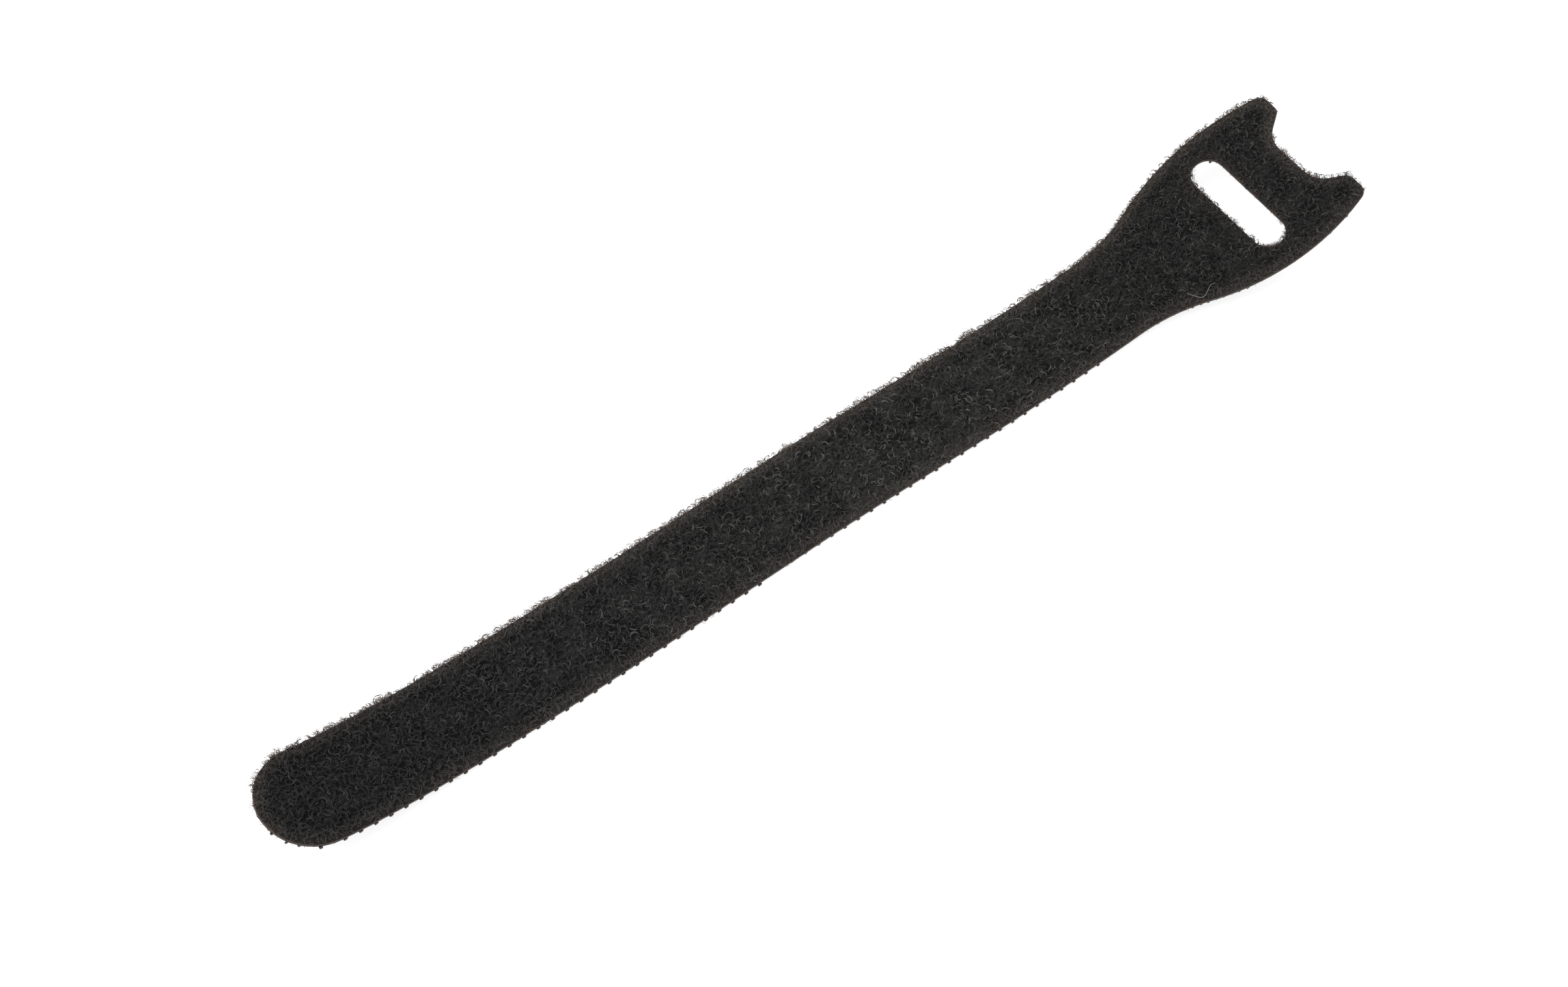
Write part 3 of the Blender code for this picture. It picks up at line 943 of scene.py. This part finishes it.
own_size = add_node(tree, "FunctionNodeRandomValue", {
    2: FILAMENT_SIZES[0], 3: FILAMENT_SIZES[1], "Seed": 9}, data_type="FLOAT")
whole_turn = add_node(tree, "ShaderNodeVectorMath", {
    0: stored_turn, 1: own_turn}, operation="ADD")
finer_head = add_node(tree, "ShaderNodeMapRange", {
    "Value": spot_parts["X"], "From Min": given["Head Start"], "From Max": TIE_LENGTH,
    "To Min": 1.0, "To Max": given["Head Size"]})
any_here = add_node(tree, "ShaderNodeMath", {
    0: stored_size, 1: own_size.outputs[1]}, operation="MULTIPLY")
whole_size = add_node(tree, "ShaderNodeMath", {0: any_here, 1: finer_head}, operation="MULTIPLY")
turn = add_node(tree, "FunctionNodeEulerToRotation", {0: whole_turn})
half_sweep = add_node(tree, "ShaderNodeMath", {0: given["Sweep"], 1: -0.5}, operation="MULTIPLY")
arch = add_node(tree, "GeometryNodeCurveArc", {
    "Resolution": given["Points"], "Radius": given["Loop Radius"],
    "Start Angle": half_sweep, "Sweep Angle": given["Sweep"]}, mode="RADIUS")
curls = add_node(tree, "GeometryNodeInstanceOnPoints", {
    "Points": apart, "Instance": arch, "Rotation": turn, "Scale": whole_size})
thicken_filaments(tree, given, curls)

# %% [markdown]
# A filament's black varies from one to the next, since some are dyed deeper and
# some catch the light. The tree stored a random number called `shade` on each,
# and the material turns it into a colour.

# %% Filament finish
PATCH_SHADE = 0.2
# Share of the painted rim light on the filaments.
FILAMENT_RIM_LIGHT = 0.9

filament, tree, shader = nylon("brushed nylon loop pile, filaments", 0.55)
shade = add_node(tree, "ShaderNodeAttribute", attribute_name="shade").outputs["Fac"]
place = add_node(tree, "ShaderNodeTexCoord").outputs["Object"]
patches = add_node(tree, "ShaderNodeTexNoise", {
    "Vector": place, "Scale": 0.33 / MM, "Detail": 2.0})
patchy = add_node(tree, "ShaderNodeMath", {
    0: patches, 1: 2 * PATCH_SHADE, 2: -PATCH_SHADE}, operation="MULTIPLY_ADD")
mixed = add_node(tree, "ShaderNodeMath", {0: shade, 1: patchy}, operation="ADD")
shades = add_node(tree, "ShaderNodeValToRGB", {"Fac": mixed}, stops=[
    (0.0, linear("#0d0c0c")), (0.5, linear("#222221")), (0.8, linear("#3a3a38")),
    (1.0, linear("#7c7a76"))])
fill(shader, {"Base Color": paint_light_by_place(tree, shades, FILAMENT_RIM_LIGHT)})

# %% [markdown]
# The pile is grown twice. A mat of short filaments that point every way fills the
# surface, and on top of it stand the sheaves of arches that catch the light. Both
# are cut into sections along the tie, since very large meshes are awkward to
# handle. A section keeps the points between two places, and as every section has
# the same seed, together they are one even scatter.

# %% Grow the mat and the arches
FILAMENTS = {
    "Ruffle": (0.40 * MM, 0.40 * MM, 0.14 * MM), "Ruffle Scale": 0.52 / MM, "Rim": rim_line,
    "Top": 1.16 * MM, "Bottom": 0.66 * MM, "Finish": filament}
MAT = {
    "Gap": 0.315 * MM, "Loop Radius": 0.31 * MM, "Sweep": 2.1, "Lean": 0.0,
    "Lean Spread": math.pi, "Filaments": 2, "Points": 4, "Head Start": NECK_START,
    "Head Size": 0.8, "Filament Radius": 0.028 * MM, "Seed": 11}
ARCHES = {
    "Gap": 0.57 * MM, "Loop Radius": 0.38 * MM, "Sweep": 2.7, "Lean": math.radians(55),
    "Lean Spread": 1.9, "Filaments": 3, "Points": 6, "Head Start": NECK_START,
    "Head Size": 0.8, "Filament Radius": 0.030 * MM, "Seed": 12}
# Brushing has pushed the pile over the far edges, and back from the near ones.
BRUSHED_OVER = (0.05 * MM, 0.08 * MM, 0.0)
PILE_HEIGHT = 0.90 * MM
# Sections get shorter toward the wide head: shares of the sections and of the length.
SECTIONS = 3
SECTION_SHARES = ([0, 0.57, 1], [0, 0.70, 1])

pile_sheet = carrier_object("pile_sheet", [-RIM_LINE_OUTSET], PILE_HEIGHT)
pile_sheet.data.transform(Matrix.Translation(BRUSHED_OVER))
ends = np.interp(np.linspace(0, 1, SECTIONS + 1), *SECTION_SHARES) * TIE_LENGTH
pile = []
for label, sizes in (("pile_mat", MAT), ("pile_arches", ARCHES)):
    for part in range(SECTIONS):
        reach = {"From": float(ends[part]), "To": float(ends[part + 1])}
        pile.append(grow(
            loop_tree, loop_ids, pile_sheet, {**reach, **FILAMENTS, **sizes},
            f"{label}_{part + 1}"))

# %% [markdown]
# ## Fuzz at the rim
# The die cuts filaments through, and their ends stand off the edge as fuzz. It
# is thick on the far side, in the notch and in the slot, and nearly absent on
# the near side, where the die pressed the pile down. A curve follows the cut,
# points are set along it, and each point gets a short bent filament that leans
# out over the edge. A point is dropped at random, more often where the edge
# faces the near side.

# %% Node tree: rim fuzz
# From an edge that faces the near side, with few hairs, to one that faces the far side.
FACING_NEAR, FACING_FAR, NEAR_SHARE = -0.9, 0.6, 0.06
# Hairs stand in tufts; between them few are left, and those are shorter.
TUFTS_PER_MM = 0.8
TUFT_EDGES = (0.40, 0.62)
BARE_SHARE = 0.12
TUFT_LENGTHS = (0.5, 1.1)
HAIR_LENGTHS = (0.35, 1.1)
LEAST_STRAY = (-0.10 * MM, -0.10 * MM, -0.12 * MM)
MOST_STRAY = (0.10 * MM, 0.10 * MM, 0.20 * MM)
LEAST_SWAY, MOST_SWAY = (-1.2, -1.1, -1.1), (1.2, 0.3, 1.1)
HAIR_BEND = ((-0.6, 0.0, 0.0), (0.5, -0.15, 0.0), (0.7, 0.5, 0.0))
# The head's edge is pressed flatter, and its hairs are cropped.
CROPPED_FROM, CROPPED_TO, CROPPED_LENGTH = 108.0 * MM, 120.0 * MM, 0.65

fuzz_tree, given, fuzz_ids = new_tree("rim fuzz", {
    "Gap": "Float", "Length": "Float", "Far Side": "Vector", **FILAMENT_SOCKETS})
tree = fuzz_tree
line = add_node(tree, "GeometryNodeMeshToCurve", {"Mesh": given["Geometry"]})
spaced = add_node(tree, "GeometryNodeCurveToPoints", {
    "Curve": line, "Length": given["Gap"]}, mode="LENGTH")
outward = add_node(tree, "ShaderNodeVectorMath", {
    0: spaced.outputs["Tangent"], 1: (0.0, 0.0, 1.0)}, operation="CROSS_PRODUCT")
facing_far = add_node(tree, "ShaderNodeVectorMath", {
    0: outward, 1: given["Far Side"]}, operation="DOT_PRODUCT")
share = add_node(tree, "ShaderNodeMapRange", {
    "Value": facing_far.outputs["Value"], "From Min": FACING_NEAR, "From Max": FACING_FAR,
    "To Min": NEAR_SHARE, "To Max": 1.0})
spot = add_node(tree, "GeometryNodeInputPosition")
tufts = add_node(tree, "ShaderNodeTexNoise", {
    "Vector": spot, "Scale": TUFTS_PER_MM / MM, "Detail": 1.0})
tufted = add_node(tree, "ShaderNodeMapRange", {
    "Value": tufts, "From Min": TUFT_EDGES[0], "From Max": TUFT_EDGES[1],
    "To Min": BARE_SHARE, "To Max": 1.0})
chance = add_node(tree, "ShaderNodeMath", {0: share, 1: tufted}, operation="MULTIPLY")
draw = add_node(tree, "FunctionNodeRandomValue", {2: 0.0, 3: 1.0, "Seed": 21}, data_type="FLOAT")
dropped = add_node(tree, "ShaderNodeMath", {
    0: draw.outputs[1], 1: chance}, operation="GREATER_THAN")
clumped = add_node(tree, "GeometryNodeStoreNamedAttribute", {
    "Geometry": spaced, "Name": "tone", "Value": tufted}, data_type="FLOAT", domain="POINT")
left = add_node(tree, "GeometryNodeDeleteGeometry", {
    "Geometry": clumped, "Selection": dropped}, domain="POINT")
strayed = add_node(tree, "FunctionNodeRandomValue", {
    0: LEAST_STRAY, 1: MOST_STRAY, "Seed": 22}, data_type="FLOAT_VECTOR")
apart = add_node(tree, "GeometryNodeSetPosition", {"Geometry": left, "Offset": strayed})
facing = add_node(tree, "FunctionNodeAlignRotationToVector", {"Vector": outward}, axis="X")
sway = add_node(tree, "FunctionNodeRandomValue", {
    0: LEAST_SWAY, 1: MOST_SWAY, "Seed": 23}, data_type="FLOAT_VECTOR")
sway_turn = add_node(tree, "FunctionNodeEulerToRotation", {0: sway})
turn = add_node(tree, "FunctionNodeRotateRotation", {
    "Rotation": facing, "Rotate By": sway_turn}, rotation_space="LOCAL")
bent = add_node(tree, "GeometryNodeCurveQuadraticBezier", {
    "Resolution": 3, "Start": HAIR_BEND[0], "Middle": HAIR_BEND[1], "End": HAIR_BEND[2]})
any_length = add_node(tree, "FunctionNodeRandomValue", {
    2: HAIR_LENGTHS[0], 3: HAIR_LENGTHS[1], "Seed": 24}, data_type="FLOAT")
clump = add_node(tree, "GeometryNodeInputNamedAttribute", {"Name": "tone"}, data_type="FLOAT")
grown_clump = add_node(tree, "ShaderNodeMapRange", {
    "Value": clump, "To Min": TUFT_LENGTHS[0], "To Max": TUFT_LENGTHS[1]})
in_clump = add_node(tree, "ShaderNodeMath", {
    0: any_length.outputs[1], 1: grown_clump}, operation="MULTIPLY")
here = add_node(tree, "GeometryNodeInputPosition")
here_parts = add_node(tree, "ShaderNodeSeparateXYZ", {0: here}).outputs
cropped_head = add_node(tree, "ShaderNodeMapRange", {
    "Value": here_parts["X"], "From Min": CROPPED_FROM, "From Max": CROPPED_TO,
    "To Min": 1.0, "To Max": CROPPED_LENGTH})
longest = add_node(tree, "ShaderNodeMath", {
    0: given["Length"], 1: cropped_head}, operation="MULTIPLY")
length = add_node(tree, "ShaderNodeMath", {0: in_clump, 1: longest}, operation="MULTIPLY")
hairs = add_node(tree, "GeometryNodeInstanceOnPoints", {
    "Points": apart, "Instance": bent, "Rotation": turn, "Scale": length})
thicken_filaments(tree, given, hairs)

# %% [markdown]
# Seen against the light, single black filaments look brown, so the fuzz gets a
# warmer finish than the loops.

# %% Fuzz finish, and grow it along the cut
fuzz_nylon, tree, shader = nylon("brushed nylon, cut filament ends", 0.55)
shade = add_node(tree, "ShaderNodeAttribute", attribute_name="shade").outputs["Fac"]
fill(shader, {"Base Color": add_node(tree, "ShaderNodeValToRGB", {"Fac": shade}, stops=[
    (0.0, linear("#382a23")), (1.0, linear("#705a4c"))])})

rim_fuzz = grow(fuzz_tree, fuzz_ids, rim_line, {
    **FILAMENTS, "Gap": 0.032 * MM, "Length": 0.95 * MM, "Far Side": (0.35, 0.93, 0.0),
    "Finish": fuzz_nylon, "Filament Radius": 0.022 * MM, "Ruffle": (0.25 * MM,) * 3, "Seed": 13},
    "rim_fuzz")

# %% [markdown]
# ## One loose thread
# A single longer filament has worked loose on the head and lies on the pile in
# an S. Geometry Nodes would be too much for one strand: a curve with a round
# bevel is enough, with a handful of points, smoothed.

# %% Loose thread
THREAD_RADIUS = 0.035 * MM
THREAD_POINTS = [
    (124.94, -5.87, 1.08), (125.35, -6.83, 1.20), (125.87, -7.65, 1.22), (126.64, -7.47, 1.24),
    (127.47, -6.98, 1.22), (127.94, -6.79, 1.18), (128.41, -6.96, 1.05)]

thread_nylon, tree, shader = nylon("nylon filament, loose", 0.4)
fill(shader, {"Base Color": linear("#8c8984")})
thread_curve = bpy.data.curves.new("loose_thread", "CURVE")
thread_curve.dimensions = "3D"
thread_curve.bevel_depth = THREAD_RADIUS
thread_curve.bevel_resolution = 1
thread_curve.use_fill_caps = True
spline = thread_curve.splines.new("NURBS")
spline.points.add(len(THREAD_POINTS) - 1)
for point, (x, y, height) in zip(spline.points, THREAD_POINTS):
    point.co = (x * MM, y * MM, height * MM, 1.0)
spline.use_endpoint_u = True
spline.order_u = 3
spline.resolution_u = 5
thread_draft = add_object("thread_draft", thread_curve)
depsgraph = bpy.context.evaluated_depsgraph_get()
thread_mesh = bpy.data.meshes.new_from_object(thread_draft.evaluated_get(depsgraph))
curl_mesh(thread_mesh)
thread_mesh.materials.clear()
thread_mesh.materials.append(thread_nylon)
loose_thread = add_object("loose_thread", thread_mesh)
print_triangles("loose_thread", thread_mesh)

# %% [markdown]
# ## Tidying up
# The flat helpers have done their work and are removed. Each piece rides on the
# tie's only body.

for helper in (hook, cut_sheet, pile_sheet, rim_line, thread_draft):
    bpy.data.objects.remove(helper)
grown = [hook_field, *pile, rim_fuzz, loose_thread]
for piece in (tape, *grown):
    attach(piece, "root")
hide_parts("cable_tie")
